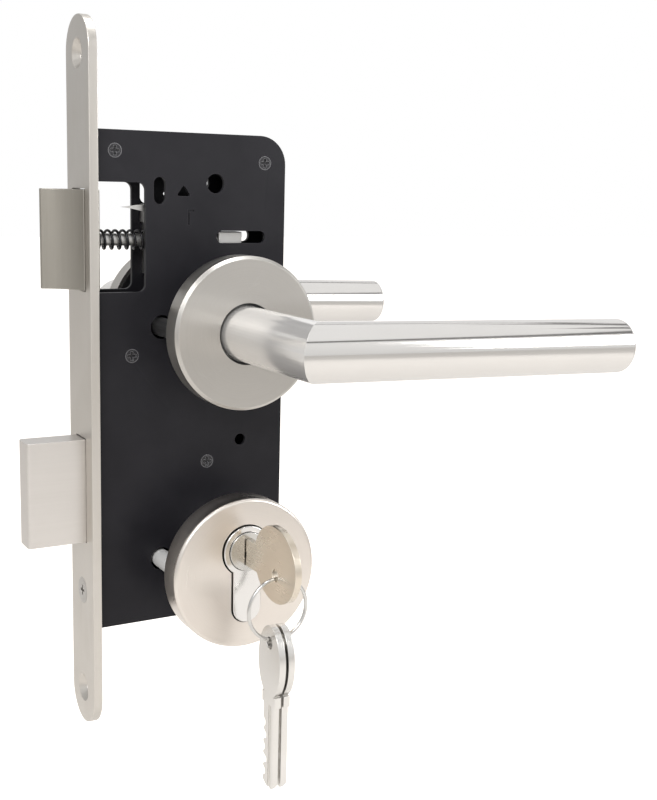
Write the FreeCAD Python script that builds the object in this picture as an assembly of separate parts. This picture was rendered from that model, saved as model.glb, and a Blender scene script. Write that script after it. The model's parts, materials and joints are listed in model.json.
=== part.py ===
import FreeCAD, Part
import math
import os

from FreeCAD import Vector

# A mortise lockset in millimetres: the case and forend that go into the door's edge, a lever
# on a round rose on each face of the door, a profile cylinder, and its key on a ring with two more.
# X runs into the door from the forend's front face, Z is up, and -Y is the side with the key.
# The origin is the middle of the forend's front face.

# Forend, the long plate let into the door's edge
forend_length = 235.0
forend_width = 22.0
forend_thickness = 3.0
forend_edge_round = 0.4
forend_screw_spacing = 211.0
forend_screw_radius = 2.6
forend_sink_radius = 4.8

# Case
case_behind_axis = 26.0
case_height = 165.0
case_thickness = 14.0
plate_thickness = 1.5
wall_thickness = 1.4
case_corner_radius = 9.5
flange_thickness = 1.4
flange_margin = 2.0
pillar_radius = 3.0
front_pillar_inset = 6.9
front_pillar_drop = 6.5
rear_pillar_inset = 7.8
rear_pillar_drop = 9.0
spring_pillar_inset = 12.4
spring_pillar_drop = 9.2
guide_pillar_shift = 2.4
guide_pillar_rise = 24.8
cover_screw_radius = 1.5
cover_screw_head_radius = 2.4
cover_screw_head_height = 0.9
cover_screw_length = 9.0
cover_cross_length = 3.0
cross_width = 0.9
cross_length = 3.6
cross_depth = 0.8

# Openings punched in both side plates, placed from the case's front, an axis or the latch
slot_width = 4.1
slot_round = 2.0
upright_slot_height = 8.7
upright_slot_inset = 22.15
upright_slot_rise = 16.15
level_slot_length = 18.0
level_slot_shift = 9.6
level_slot_rise = 1.15
large_hole_radius = 3.2
large_hole_rise = 18.8
small_hole_radius = 2.0
small_hole_shift = 10.1
small_hole_rise = 31.5
triangle_width = 3.3
triangle_height = 2.3
triangle_round = 0.5
triangle_inset = 30.55
triangle_rise = 15.0
mark_inset = 32.0
mark_rise = 7.6
mark_height = 5.0
mark_length = 2.4
mark_width = 0.7
mark_depth = 0.4

# Axes of the lever and of the key
backset = 45.0
centres = 72.0
lever_height = 19.0
door_thickness = 50.0

# Clearances
slide_gap = 0.3
fit_gap = 0.08
seat_gap = 0.05
cut_margin = 0.5

# Latch
latch_height_in_case = 47.5
latch_length = 32.0
latch_thickness = 12.4
latch_throw = 11.0
latch_rear = 5.0
latch_nose_width = 1.6
latch_nose_round = 0.8
latch_bevel_dip = 2.0
rod_radius = 2.0
rod_seat = 4.0
window_depth = 17.2
window_height = 35.3
window_rise = 0.95
window_corner_radius = 2.5
spring_outer_radius = 3.4
spring_wire_radius = 0.45
spring_turns = 8
guide_place = 23.6
guide_thickness = 1.6
guide_drop = 11.5
guide_rise = 11.6
keeper_thickness = 0.8
keeper_width = 1.2
keeper_length = 11.1
keeper_tab_height = 6.0
tail_length = 8.8
tail_height = 5.4
tail_thickness = 5.0
tail_leg_width = 3.0
tail_leg_end = 30.3

# Follower, the hub that the lever turns, and its arm
follower_radius = 10.0
follower_thickness = 8.0
follower_boss_radius = 8.0
follower_boss_margin = 0.2
arm_reach = 17.1
arm_width = 5.4
arm_thickness = 5.0
arm_gap = 0.5
spindle_size = 8.0
spindle_length = 124.0
spindle_chamfer = 0.6

# Levers and their roses
lever_radius = 9.0
lever_projection = 53.0
lever_grip_length = 117.0
lever_droop = 1.5
lever_end_round = 1.2
neck_start = 1.0
set_screw_radius = 2.5
set_screw_length = 4.5
set_screw_place = 15.0
rose_radius = 25.0
rose_depth = 8.0
rose_wall = 1.2
rose_edge = 1.0
rose_hole_gap = 1.0
base_depth = 6.0
bearing_depth = 2.0
base_recess_radius = 14.5
circlip_thickness = 1.0
circlip_radius = 10.6
circlip_groove = 0.8
torsion_radius = 12.1
torsion_thickness = 1.0
torsion_height = 2.4
bolt_offset = 19.0
post_radius = 3.1
post_gap = 0.1
post_short = 0.6
case_post_hole_radius = 4.0
bolt_radius = 2.0
bolt_length = 22.0
bolt_head_radius = 3.8
bolt_head_height = 2.8
bolt_head_gap = 0.2

# Deadbolt
bolt_height = -35.0
bolt_size = 35.0
bolt_thickness = 9.4
bolt_throw = 19.5
bolt_rear = 15.6
bolt_edge_round = 1.2
bolt_tail_thickness = 3.0
bolt_tail_end = 48.8
bolt_tail_top = -20.0
bolt_tail_bottom = -43.5
bolt_tail_seat = 10.6
talon_end = 34.0
bolt_pin_radius = 1.6
bolt_pin_spacing = 14.0
bolt_pin_inset = 5.0
leaf_thickness = 0.6
leaf_width = 5.0
leaf_foot = 41.0

# Profile cylinder, its plugs and its cam
cylinder_length = 70.0
cylinder_radius = 8.5
cylinder_total_height = 33.0
cylinder_tail_width = 10.0
cylinder_gap = 0.4
plug_radius = 6.5
plug_step = 0.5
cam_width = 10.0
cam_radius = 14.2
cam_hub_radius = 8.3
cam_lug_width = 8.0
cam_rest_angle = 30.0
cam_gap = 0.1
cylinder_screw_drop = 17.5
cylinder_screw_radius = 2.5
cylinder_screw_head_radius = 4.4
cylinder_rose_radius = 25.5
cylinder_rose_depth = 9.0
cylinder_rose_round = 1.2
cylinder_rose_drop = 8.0

# Keys and their ring
key_thickness = 2.3
key_hole_radius = 2.0
key_blade_height = 8.2
key_blade_length = 28.5
key_groove_height = 1.8
key_groove_depth = 0.6
key_neck_length = 7.0
key_neck_height = 9.0
key_bow_length = 28.3
key_bow_height = 24.7
key_bow_rise = 1.65
key_hole_drop = 1.6
key_hole_shift = 0.65
keyway_width = 2.7
keyway_gap = 0.2
key_cut_count = 5
key_cut_spacing = 4.2
key_cut_depths = [1.6, 2.4, 1.0, 2.0, 1.3]
ring_outer_radius = 10.75
ring_wire_radius = 0.6
ring_play = 0.3
spare_bow_width = 15.0
spare_bow_height = 24.0
spare_bow_top = 3.6
spare_spacing = 3.2
spare_neck_length = 2.5
spare_blade_length = 29.0
spare_blade_height = 6.6

# Places worked out from the sizes above
plate_face = case_thickness / 2.0
plate_inside = plate_face - plate_thickness
case_front = forend_thickness
case_rear = backset + case_behind_axis
case_half = case_height / 2.0
door_face = door_thickness / 2.0
key_axis_z = lever_height - centres
cylinder_half = cylinder_length / 2.0
rose_front = door_face + rose_depth
grip_y = door_face + lever_projection
cylinder_bottom = key_axis_z + cylinder_radius - cylinder_total_height
cylinder_screw_z = key_axis_z - cylinder_screw_drop
cylinder_rose_z = key_axis_z - cylinder_rose_drop
arm_half = arm_width / 2.0
guide_pillar = (backset - guide_pillar_shift, key_axis_z + guide_pillar_rise)
spring_pillar = (case_front + spring_pillar_inset, lever_height - spring_pillar_drop)
pillar_places = [(case_front + front_pillar_inset, case_half - front_pillar_drop),
                 (case_rear - rear_pillar_inset, case_half - rear_pillar_drop),
                 spring_pillar, guide_pillar]
tail_start = backset + arm_half + arm_gap

SHAPES = {}


# Draw simple solids

def block(x0, x1, y0, y1, z0, z1):
    return Part.makeBox(x1 - x0, y1 - y0, z1 - z0, Vector(x0, y0, z0))


def rod_x(radius, x0, x1, y, z):
    return Part.makeCylinder(radius, x1 - x0, Vector(x0, y, z), Vector(1, 0, 0))


def rod_y(radius, y0, y1, x, z):
    return Part.makeCylinder(radius, y1 - y0, Vector(x, y0, z), Vector(0, 1, 0))


def rod_z(radius, z0, z1, x, y):
    return Part.makeCylinder(radius, z1 - z0, Vector(x, y, z0), Vector(0, 0, 1))


def rounded_outline(width, height, radius):
    """Rectangle about the origin in the XZ plane, with its corners rounded."""
    w = width / 2.0
    h = height / 2.0
    r = radius
    d = r * (1.0 - math.sqrt(0.5))
    corners = [(w, -h, 1, -1), (w, h, 1, 1), (-w, h, -1, 1), (-w, -h, -1, -1)]
    starts = []
    middles = []
    ends = []
    for index, (x, z, sx, sz) in enumerate(corners):
        along_x = Vector(x - sx * r, 0, z)
        along_z = Vector(x, 0, z - sz * r)
        starts.append(along_x if index % 2 == 0 else along_z)
        ends.append(along_z if index % 2 == 0 else along_x)
        middles.append(Vector(x - sx * d, 0, z - sz * d))
    edges = []
    for index in range(4):
        edges.append(Part.Arc(starts[index], middles[index], ends[index]).toShape())
        following = starts[(index + 1) % 4]
        if ends[index].distanceToPoint(following) > 1e-6:
            edges.append(Part.makeLine(ends[index], following))
    return Part.Wire(edges)


def rounded_block(width, height, radius, y0, y1, x, z):
    """Block through Y with rounded corners, centred on x and z."""
    face = Part.Face(rounded_outline(width, height, radius))
    solid = face.extrude(Vector(0, y1 - y0, 0))
    solid.translate(Vector(x, y0, z))
    return solid


def turned(points, x, z, side):
    """Solid of revolution about a Y axis. Points are (radius, distance from the case's middle)."""
    corners = [Vector(x + radius, side * y, z) for radius, y in points]
    face = Part.Face(Part.makePolygon(corners + corners[:1]))
    return face.revolve(Vector(x, 0, z), Vector(0, 1, 0), 360)


def joined(solids):
    body = solids[0]
    for solid in solids[1:]:
        body = body.fuse(solid)
    return body.removeSplitter()


def group(solids):
    return Part.makeCompound(solids)


def span(side, near, far):
    """The two Y values, in order, of a stretch on one side of the case."""
    return sorted((side * near, side * far))


# Forend and case

def euro_profile(gap, y0, y1):
    """The cylinder's key-hole section, grown by a gap all round."""
    circle = rod_y(cylinder_radius + gap, y0, y1, backset, key_axis_z)
    half_tail = cylinder_tail_width / 2.0 + gap
    tail_round_z = cylinder_bottom + cylinder_tail_width / 2.0
    tail = block(backset - half_tail, backset + half_tail, y0, y1, tail_round_z, key_axis_z)
    foot = rod_y(half_tail, y0, y1, backset, tail_round_z)
    return joined([circle, tail, foot])


def make_forend():
    half = forend_length / 2.0
    plate = rounded_block(forend_width, forend_length, forend_width / 2.0,
                          0, forend_thickness, 0, 0)
    front = [edge for edge in plate.Edges if edge.BoundBox.YMax < cut_margin]
    plate = plate.makeFillet(forend_edge_round, front)
    plate.rotate(Vector(0, 0, 0), Vector(0, 0, 1), -90)
    latch_hole = block(-cut_margin, forend_thickness + cut_margin,
                       -latch_thickness / 2.0 - slide_gap, latch_thickness / 2.0 + slide_gap,
                       latch_height_in_case - latch_length / 2.0 - slide_gap,
                       latch_height_in_case + latch_length / 2.0 + slide_gap)
    bolt_hole = block(-cut_margin, forend_thickness + cut_margin,
                      -bolt_thickness / 2.0 - slide_gap, bolt_thickness / 2.0 + slide_gap,
                      bolt_height - bolt_size / 2.0 - slide_gap,
                      bolt_height + bolt_size / 2.0 + slide_gap)
    cuts = [latch_hole, bolt_hole]
    for z in (forend_screw_spacing / 2.0, -forend_screw_spacing / 2.0):
        cuts.append(rod_x(forend_screw_radius, -half, half, 0, z))
        cuts.append(sink(forend_sink_radius, forend_screw_radius, z))
    cuts.append(rod_x(cylinder_screw_radius + fit_gap, -half, half, 0, cylinder_screw_z))
    cuts.append(sink(cylinder_screw_head_radius + fit_gap, cylinder_screw_radius + fit_gap,
                     cylinder_screw_z))
    return plate.cut(cuts)


def sink(outer, inner, z):
    """A 90 degree countersink in the forend's front face."""
    return Part.makeCone(outer, inner, outer - inner, Vector(0, 0, z), Vector(1, 0, 0))


def case_outline(y0, y1):
    """The case's side shape: square at the forend, rounded at the rear corners."""
    r = case_corner_radius
    d = r * (1.0 - math.sqrt(0.5))
    h = case_half
    points = [Vector(case_front, 0, -h), Vector(case_rear - r, 0, -h),
              Vector(case_rear - d, 0, -h + d), Vector(case_rear, 0, -h + r),
              Vector(case_rear, 0, h - r), Vector(case_rear - d, 0, h - d),
              Vector(case_rear - r, 0, h), Vector(case_front, 0, h)]
    edges = [Part.makeLine(points[0], points[1]),
             Part.Arc(points[1], points[2], points[3]).toShape(),
             Part.makeLine(points[3], points[4]),
             Part.Arc(points[4], points[5], points[6]).toShape(),
             Part.makeLine(points[6], points[7]),
             Part.makeLine(points[7], points[0])]
    solid = Part.Face(Part.Wire(edges)).extrude(Vector(0, y1 - y0, 0))
    solid.translate(Vector(0, y0, 0))
    return solid


def triangle_hole(y0, y1):
    """The small rounded triangle that is punched in both side plates."""
    x = case_front + triangle_inset
    z = latch_height_in_case + triangle_rise
    half = triangle_width / 2.0
    corners = [Vector(x - half, y0, z), Vector(x + half, y0, z), Vector(x, y0, z + triangle_height)]
    grown = Part.Face(Part.makePolygon(corners + corners[:1])).makeOffset2D(triangle_round)
    return grown.extrude(Vector(0, y1 - y0, 0))


def plate_cuts(side):
    """The holes punched in one side plate of the case."""
    y0, y1 = span(side, plate_inside - cut_margin, plate_face + cut_margin)
    window = rounded_block(window_depth + case_front, window_height, window_corner_radius, y0, y1,
                           (window_depth + case_front) / 2.0,
                           latch_height_in_case + window_rise)
    upright_slot = rounded_block(slot_width, upright_slot_height, slot_round, y0, y1,
                                 case_front + upright_slot_inset,
                                 latch_height_in_case + upright_slot_rise)
    level_slot = rounded_block(level_slot_length, slot_width, slot_round, y0, y1,
                               backset + level_slot_shift,
                               latch_height_in_case + level_slot_rise)
    cuts = [window, upright_slot, level_slot, triangle_hole(y0, y1),
            rod_y(large_hole_radius, y0, y1, backset, latch_height_in_case + large_hole_rise),
            rod_y(small_hole_radius, y0, y1, backset + small_hole_shift,
                  key_axis_z + small_hole_rise),
            rod_y(follower_boss_radius + fit_gap, y0, y1, backset, lever_height),
            euro_profile(slide_gap, y0, y1)]
    for x in (backset - bolt_offset, backset + bolt_offset):
        for z in (lever_height, cylinder_rose_z):
            cuts.append(rod_y(case_post_hole_radius, y0, y1, x, z))
    return cuts


def make_case_body():
    """The far plate with the folded walls and the flanges that carry the forend."""
    shell = case_outline(-plate_inside, plate_face)
    hollow = block(case_front - cut_margin, case_rear - wall_thickness, -plate_inside - cut_margin,
                   plate_inside, -case_half + wall_thickness, case_half - wall_thickness)
    inner_edges = [edge for edge in hollow.Edges
                   if edge.BoundBox.XMin > case_rear - wall_thickness - cut_margin
                   and edge.BoundBox.YLength > case_thickness / 2.0]
    hollow = hollow.makeFillet(case_corner_radius - wall_thickness, inner_edges)
    shell = shell.cut(hollow)
    top = case_half - wall_thickness
    latch_top = latch_height_in_case + latch_length / 2.0 + flange_margin
    latch_low = latch_height_in_case - latch_length / 2.0 - flange_margin
    bolt_top = bolt_height + bolt_size / 2.0 + flange_margin
    bolt_low = bolt_height - bolt_size / 2.0 - flange_margin
    flanges = [block(case_front, case_front + flange_thickness, -plate_inside, plate_inside, z0, z1)
               for z0, z1 in ((latch_top, top), (bolt_top, latch_low), (-top, bolt_low))]
    shell = joined([shell] + flanges)
    screw_hole = rod_x(cylinder_screw_radius + slide_gap, case_front - cut_margin,
                       case_front + flange_thickness + cut_margin, 0, cylinder_screw_z)
    return shell.cut(plate_cuts(1) + [screw_hole])


def make_case_cover():
    cover = case_outline(-plate_face, -plate_inside)
    cuts = plate_cuts(-1)
    for x, z in pillar_places:
        cuts.append(rod_y(cover_screw_radius + fit_gap, -plate_face - cut_margin,
                          -plate_inside + cut_margin, x, z))
        cuts.append(Part.makeCone(cover_screw_head_radius, cover_screw_radius + fit_gap,
                                  cover_screw_head_height, Vector(x, -plate_face, z),
                                  Vector(0, 1, 0)))
    x = case_front + mark_inset
    z = latch_height_in_case + mark_rise
    y0 = -plate_face - cut_margin
    y1 = -plate_face + mark_depth
    cuts.append(block(x, x + mark_width, y0, y1, z - mark_height / 2.0, z + mark_height / 2.0))
    cuts.append(block(x, x + mark_length, y0, y1, z + mark_height / 2.0 - mark_width,
                      z + mark_height / 2.0))
    return cover.cut(cuts)


def make_case_pillars():
    pillars = []
    for x, z in pillar_places:
        pillar = rod_y(pillar_radius, -plate_inside, plate_inside, x, z)
        thread = rod_y(cover_screw_radius, -plate_inside - cut_margin,
                       -plate_face + cover_screw_length, x, z)
        pillars.append(pillar.cut(thread))
    return group(pillars)


def make_case_screws():
    screws = []
    for x, z in pillar_places:
        shank = rod_y(cover_screw_radius, -plate_face, -plate_face + cover_screw_length, x, z)
        head = Part.makeCone(cover_screw_head_radius - seat_gap, cover_screw_radius,
                             cover_screw_head_height, Vector(x, -plate_face, z),
                             Vector(0, 1, 0))
        bars = [block(x - a / 2.0, x + a / 2.0, -plate_face - cut_margin,
                      -plate_face + cross_depth, z - b / 2.0, z + b / 2.0)
                for a, b in ((cross_width, cover_cross_length),
                             (cover_cross_length, cross_width))]
        screws.append(joined([head, shank]).cut(bars))
    return group(screws)


SHAPES["forend"] = make_forend()
SHAPES["case_body"] = make_case_body()
SHAPES["case_cover"] = make_case_cover()
SHAPES["case_pillars"] = make_case_pillars()
SHAPES["case_screws"] = make_case_screws()


# Latch

def helix_tube(radius, wire, pitch, turns, length_sign=1):
    """A coil about the X axis from x = 0, as a pipe along two tangent arcs per quarter turn."""
    rise = pitch / (2.0 * math.pi) * length_sign

    def point(angle):
        return Vector(rise * angle, radius * math.cos(angle), radius * math.sin(angle))

    def tangent(angle):
        direction = Vector(rise, -radius * math.sin(angle), radius * math.cos(angle))
        return direction.normalize()

    def arc(start, control, end):
        chord = (start + end) * 0.5
        sag = control - chord
        half = (end - start).Length / 2.0
        angle = math.atan2(sag.Length, half)
        middle = chord + sag.normalize() * (half * math.tan(angle / 2.0))
        return Part.Arc(start, middle, end).toShape()

    edges = []
    steps = int(round(turns * 4))
    for index in range(steps):
        a = index * math.pi / 2.0
        b = a + math.pi / 2.0
        gap = point(b) - point(a)
        both = tangent(a) + tangent(b)
        straight = 2.0 * (tangent(a).dot(tangent(b)) - 1.0)
        linear = -2.0 * gap.dot(both)
        root = math.sqrt(linear * linear - 4.0 * straight * gap.dot(gap))
        reach = (-linear - root) / (2.0 * straight)
        if reach < 0:
            reach = (-linear + root) / (2.0 * straight)
        first = point(a) + tangent(a) * reach
        last = point(b) - tangent(b) * reach
        joint = (first + last) * 0.5
        edges.append(arc(point(a), first, joint))
        edges.append(arc(joint, last, point(b)))
    path = Part.Wire(edges)
    section = Part.Wire([Part.makeCircle(wire, point(0), tangent(0))])
    return path.makePipeShell([section], True, False)


def coil_gap(radius, wire, pitch, turns):
    """Least gap between one turn of a coil and the next, measured on points."""
    samples = 72
    points = []
    for index in range(int(turns * samples) + 1):
        angle = 2.0 * math.pi * index / samples
        points.append(Vector(pitch * index / samples, radius * math.cos(angle),
                             radius * math.sin(angle)))
    least = 1e9
    for index, here in enumerate(points):
        for other in points[index + samples // 2:]:
            least = min(least, (here - other).Length)
    return least - 2.0 * wire


def make_latch_head():
    half = latch_thickness / 2.0
    z0 = latch_height_in_case - latch_length / 2.0
    nose_start = Vector(-latch_throw, half, z0)
    nose_end = Vector(-latch_throw, half - latch_nose_width, z0)
    foot = Vector(-slide_gap, -half, z0)
    middle = (nose_end + foot) * 0.5
    normal = Vector(half * 2.0 - latch_nose_width, latch_throw - slide_gap, 0).normalize()
    bevel = Part.Arc(nose_end, middle + normal * latch_bevel_dip, foot).toShape()
    edges = [Part.makeLine(Vector(latch_rear, half, z0), nose_start),
             Part.makeLine(nose_start, nose_end), bevel,
             Part.makeLine(foot, Vector(latch_rear, -half, z0)),
             Part.makeLine(Vector(latch_rear, -half, z0), Vector(latch_rear, half, z0))]
    head = Part.Face(Part.Wire(edges)).extrude(Vector(0, 0, latch_length))
    nose = [edge for edge in head.Edges
            if edge.BoundBox.XMax < -latch_throw + cut_margin
            and edge.BoundBox.ZLength > latch_length / 2.0]
    head = head.makeFillet(latch_nose_round, nose)
    seat = rod_x(rod_radius, latch_rear - rod_seat, latch_rear + cut_margin, 0,
                 latch_height_in_case)
    return head.cut([seat, keeper_slot()])


def keeper_top():
    return latch_height_in_case + guide_rise


def keeper_slot():
    """The slot in the head's rear that the keeper's leaf enters as the latch goes in."""
    top = keeper_top()
    tip = guide_place - keeper_length
    y = -plate_inside + cut_margin + keeper_thickness / 2.0
    return block(tip - latch_throw - slide_gap, latch_rear + cut_margin,
                 y - keeper_thickness / 2.0 - slide_gap, y + keeper_thickness / 2.0 + slide_gap,
                 top - keeper_width - slide_gap, top + slide_gap)


def make_latch_rod():
    return rod_x(rod_radius, latch_rear - rod_seat, tail_start + rod_seat, 0,
                 latch_height_in_case)


def make_latch_tail():
    half = tail_thickness / 2.0
    z = latch_height_in_case
    bar = block(tail_start, tail_start + tail_length, -half, half,
                z - tail_height / 2.0, z + tail_height / 2.0)
    leg = block(tail_start, tail_start + tail_leg_width, -half, half, tail_leg_end, z)
    seat = rod_x(rod_radius, tail_start - cut_margin, tail_start + rod_seat, 0, z)
    return joined([bar, leg]).cut(seat)


def make_latch_guide():
    guide = block(guide_place, guide_place + guide_thickness, -plate_inside, plate_inside,
                  latch_height_in_case - guide_drop, keeper_top())
    return guide.cut(rod_x(rod_radius + fit_gap, guide_place - cut_margin,
                           guide_place + guide_thickness + cut_margin, 0,
                           latch_height_in_case))


def make_latch_keeper():
    """A thin leaf that reaches forward from the guide beside the window's upper edge."""
    top = keeper_top()
    y = -plate_inside + cut_margin
    leaf = block(guide_place - keeper_length, guide_place, y, y + keeper_thickness,
                 top - keeper_width, top)
    tab = block(guide_place - keeper_thickness, guide_place, y, -y,
                top - keeper_tab_height, top)
    return joined([leaf, tab])


def make_latch_spring():
    start = latch_rear + spring_wire_radius + seat_gap
    end = guide_place - spring_wire_radius - seat_gap
    pitch = (end - start) / spring_turns
    radius = spring_outer_radius - spring_wire_radius
    coil = helix_tube(radius, spring_wire_radius, pitch, spring_turns)
    coil.translate(Vector(start, 0, latch_height_in_case))
    print("latch spring gap between turns",
          round(coil_gap(radius, spring_wire_radius, pitch, spring_turns), 2), "mm")
    return coil


SHAPES["latch_head"] = make_latch_head()
SHAPES["latch_rod"] = make_latch_rod()
SHAPES["latch_tail"] = make_latch_tail()
SHAPES["latch_guide"] = make_latch_guide()
SHAPES["latch_keeper"] = make_latch_keeper()
SHAPES["latch_spring"] = make_latch_spring()


# Follower, spindle and levers

def make_follower():
    half = follower_thickness / 2.0
    hub = rod_y(follower_radius, -half, half, backset, lever_height)
    boss_end = plate_face - follower_boss_margin
    boss = rod_y(follower_boss_radius, -boss_end, boss_end, backset, lever_height)
    arm_side = arm_thickness / 2.0
    arm = block(backset - arm_half, backset + arm_half, -arm_side, arm_side,
                lever_height, lever_height + arm_reach)
    tip = rod_y(arm_half, -arm_side, arm_side, backset, lever_height + arm_reach)
    side = spindle_size / 2.0 + seat_gap
    square = block(backset - side, backset + side, -case_thickness, case_thickness,
                   lever_height - side, lever_height + side)
    return joined([hub, boss, arm, tip]).cut(square)


def make_spindle():
    side = spindle_size / 2.0
    half = spindle_length / 2.0
    bar = block(backset - side, backset + side, -half, half,
                lever_height - side, lever_height + side)
    ends = [edge for edge in bar.Edges if edge.BoundBox.YLength < seat_gap]
    return bar.makeChamfer(spindle_chamfer, ends)


def circlip_place():
    """Distance of the circlip's outer face from the case's middle."""
    return door_face + base_depth - bearing_depth - circlip_thickness - seat_gap


def make_lever():
    """A round bar with one sharp mitred corner, drooping a little from the level."""
    neck = rod_y(lever_radius, door_face + neck_start, grip_y + lever_radius, 0, 0)
    clip_end = circlip_place() + circlip_thickness
    groove = rod_y(lever_radius * 2.0, circlip_place(), clip_end, 0, 0)
    neck = neck.cut(groove.cut(rod_y(lever_radius - circlip_groove, circlip_place(),
                                     clip_end, 0, 0)))
    grip = rod_x(lever_radius, -lever_radius, lever_grip_length, grip_y, 0)
    end_edges = [edge for edge in grip.Edges if edge.BoundBox.XMin > lever_grip_length - cut_margin]
    grip = grip.makeFillet(lever_end_round, end_edges)
    reach = lever_grip_length * 2.0
    corner = Vector(0, grip_y, 0)
    mitre = [corner + Vector(-reach, reach, 0), corner + Vector(reach, -reach, 0),
             corner + Vector(-reach, -reach, 0)]
    half_space = Part.Face(Part.makePolygon(mitre + mitre[:1])).extrude(Vector(0, 0, reach))
    half_space.translate(Vector(0, 0, -reach / 2.0))
    lever = joined([neck.common(half_space), grip.cut(half_space)])
    lever.rotate(Vector(0, 0, 0), Vector(0, 1, 0), lever_droop)
    lever.translate(Vector(backset, 0, lever_height))
    half = spindle_size / 2.0 + seat_gap
    socket = block(backset - half, backset + half, door_face, spindle_length / 2.0 + slide_gap,
                   lever_height - half, lever_height + half)
    return lever.cut([socket, set_screw_cut(1)])


def set_screw_y(side):
    return side * (door_face + set_screw_place)


def set_screw_cut(side):
    return rod_z(set_screw_radius, lever_height - lever_radius * 2.0, lever_height,
                 backset, set_screw_y(side))


def make_set_screw(side):
    top = lever_height - spindle_size / 2.0 - seat_gap
    screw = rod_z(set_screw_radius, top - set_screw_length, top, backset, set_screw_y(side))
    hexagon_radius = set_screw_radius / 2.0
    corners = [Vector(backset + hexagon_radius * math.cos(math.radians(60 * index)),
                      set_screw_y(side) + hexagon_radius * math.sin(math.radians(60 * index)),
                      top - set_screw_length) for index in range(6)]
    key_hole = Part.Face(Part.makePolygon(corners + corners[:1]))
    return screw.cut(key_hole.extrude(Vector(0, 0, set_screw_length / 2.0)))


def make_circlip(side):
    y = circlip_place()
    inner = lever_radius - circlip_groove + seat_gap
    clip = turned([(inner, y), (circlip_radius, y), (circlip_radius, y + circlip_thickness),
                   (inner, y + circlip_thickness)], backset, lever_height, side)
    y0, y1 = span(side, y - cut_margin, y + circlip_thickness + cut_margin)
    opening = block(backset - circlip_thickness, backset + circlip_thickness, y0, y1,
                    lever_height - circlip_radius - cut_margin, lever_height)
    return clip.cut(opening)


SHAPES["follower"] = make_follower()
SHAPES["spindle"] = make_spindle()
SHAPES["lever_back"] = make_lever()
SHAPES["lever_front"] = SHAPES["lever_back"].mirror(Vector(0, 0, 0), Vector(0, 1, 0))
SHAPES["lever_set_screws"] = group([make_set_screw(-1), make_set_screw(1)])
SHAPES["lever_circlips"] = group([make_circlip(-1), make_circlip(1)])


# Roses, and the bolts that clamp them through the door and the case

def make_rose_cover(side, radius, depth, hole, z, edge, soft):
    """A pressed cap. Its front edge is a plain chamfer, or a soft round where it is large."""
    front = door_face + depth
    outline = [(radius, door_face), (radius, front - edge), (radius - edge, front), (0, front)]
    outer = turned([(0, door_face)] + outline, backset, z, side)
    if soft:
        solid = turned([(0, door_face), (radius, door_face), (radius, front), (0, front)],
                       backset, z, side)
        rim = [item for item in solid.Edges
               if abs(abs(item.BoundBox.YMin) - front) < seat_gap
               and item.BoundBox.YLength < seat_gap]
        outer = solid.makeFillet(edge, rim)
    inner_edge = max(edge - rose_wall, seat_gap)
    inside = front - rose_wall
    inner_radius = radius - rose_wall
    inner = turned([(0, door_face - cut_margin), (inner_radius, door_face - cut_margin),
                    (inner_radius, inside - inner_edge), (inner_radius - inner_edge, inside),
                    (0, inside)], backset, z, side)
    return outer.cut([inner, hole])


def base_holes(side, z, clear):
    """The two bolt holes of a rose base, each with a seat for the bolt's head."""
    cuts = []
    seat = door_face + base_depth - bolt_head_height - bolt_head_gap
    for x in (backset - bolt_offset, backset + bolt_offset):
        cuts.append(turned([(0, door_face - cut_margin), (post_radius + post_gap,
                            door_face - cut_margin), (post_radius + post_gap, seat),
                            (bolt_head_radius + clear, seat),
                            (bolt_head_radius + clear, door_face + base_depth + cut_margin),
                            (0, door_face + base_depth + cut_margin)], x, z, side))
    return cuts


def make_lever_base(side):
    outer = rose_radius - rose_wall - seat_gap
    top = door_face + base_depth
    shelf = top - bearing_depth
    bore = lever_radius + fit_gap
    base = turned([(base_recess_radius, door_face), (outer, door_face), (outer, top),
                   (bore, top), (bore, shelf), (base_recess_radius, shelf)],
                  backset, lever_height, side)
    return base.cut(base_holes(side, lever_height, post_gap))


def make_lever_rose(side):
    y0, y1 = span(side, door_face - cut_margin, rose_front + cut_margin)
    hole = rod_y(lever_radius + rose_hole_gap, y0, y1, backset, lever_height)
    return make_rose_cover(side, rose_radius, rose_depth, hole, lever_height, rose_edge, False)


def make_cylinder_base(side):
    outer = cylinder_rose_radius - rose_wall - seat_gap
    top = door_face + base_depth
    rim = max(top + cylinder_rose_round - door_face - cylinder_rose_depth, seat_gap)
    base = turned([(0, door_face), (outer, door_face), (outer, top - rim), (outer - rim, top),
                   (0, top)], backset, cylinder_rose_z, side)
    y0, y1 = span(side, door_face, top)
    profile = euro_profile(cylinder_gap, y0 - cut_margin, y1 + cut_margin)
    return base.cut([profile] + base_holes(side, cylinder_rose_z, post_gap))


def make_cylinder_rose(side):
    far = door_face + cylinder_rose_depth + cut_margin
    y0, y1 = span(side, door_face - cut_margin, far)
    return make_rose_cover(side, cylinder_rose_radius, cylinder_rose_depth,
                           euro_profile(cylinder_gap, y0, y1), cylinder_rose_z,
                           cylinder_rose_round, True)


def bolt_seat():
    return door_face + base_depth - bolt_head_height - bolt_head_gap


def make_posts(z):
    """Threaded posts: the head sits in the back base and the shank reaches the front base."""
    posts = []
    for x in (backset - bolt_offset, backset + bolt_offset):
        seat = bolt_seat()
        end = -(door_face - post_short)
        head = rod_y(bolt_head_radius, seat, seat + bolt_head_height, x, z)
        shank = rod_y(post_radius, end, seat, x, z)
        thread = rod_y(bolt_radius, end - cut_margin, end + bolt_length, x, z)
        posts.append(joined([head, shank]).cut(thread))
    return group(posts)


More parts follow.
